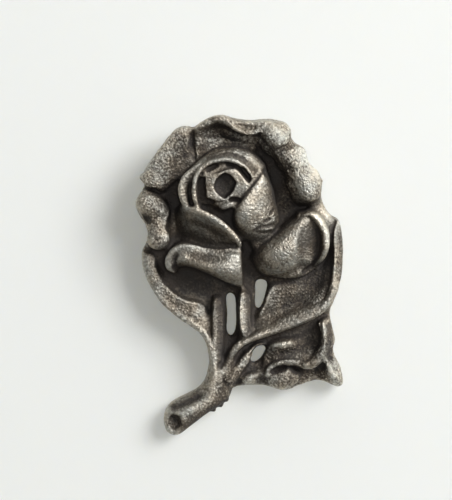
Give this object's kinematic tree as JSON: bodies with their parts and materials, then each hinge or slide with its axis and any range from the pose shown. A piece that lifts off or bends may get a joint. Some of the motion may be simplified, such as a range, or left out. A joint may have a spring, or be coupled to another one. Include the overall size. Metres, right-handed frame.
{
  "type": "rose lapel badge",
  "caption": "Cast and antiqued white-metal badge in the form of an open rose on a leafy stem, pierced between the stalks, with a bent wire pin behind it",
  "frame": {"origin": "centre of the badge's outline seen from the front, at the level of the surface it rests on", "axes": "+X to the right of the rose seen from the front, +Y from the stem to the top petal, +Z out of the rose's face; the badge lies on its back and leans 5.4 degrees about X on its pin"},
  "size_m": [0.0209, 0.0324, 0.0077],
  "materials": {
    "antiqued_pewter": "satin",
    "pin_steel": "satin"
  },
  "bodies": {
    "root": {"rose_casting": "antiqued_pewter", "brooch_pin": "pin_steel"}
  },
  "joints": []
}
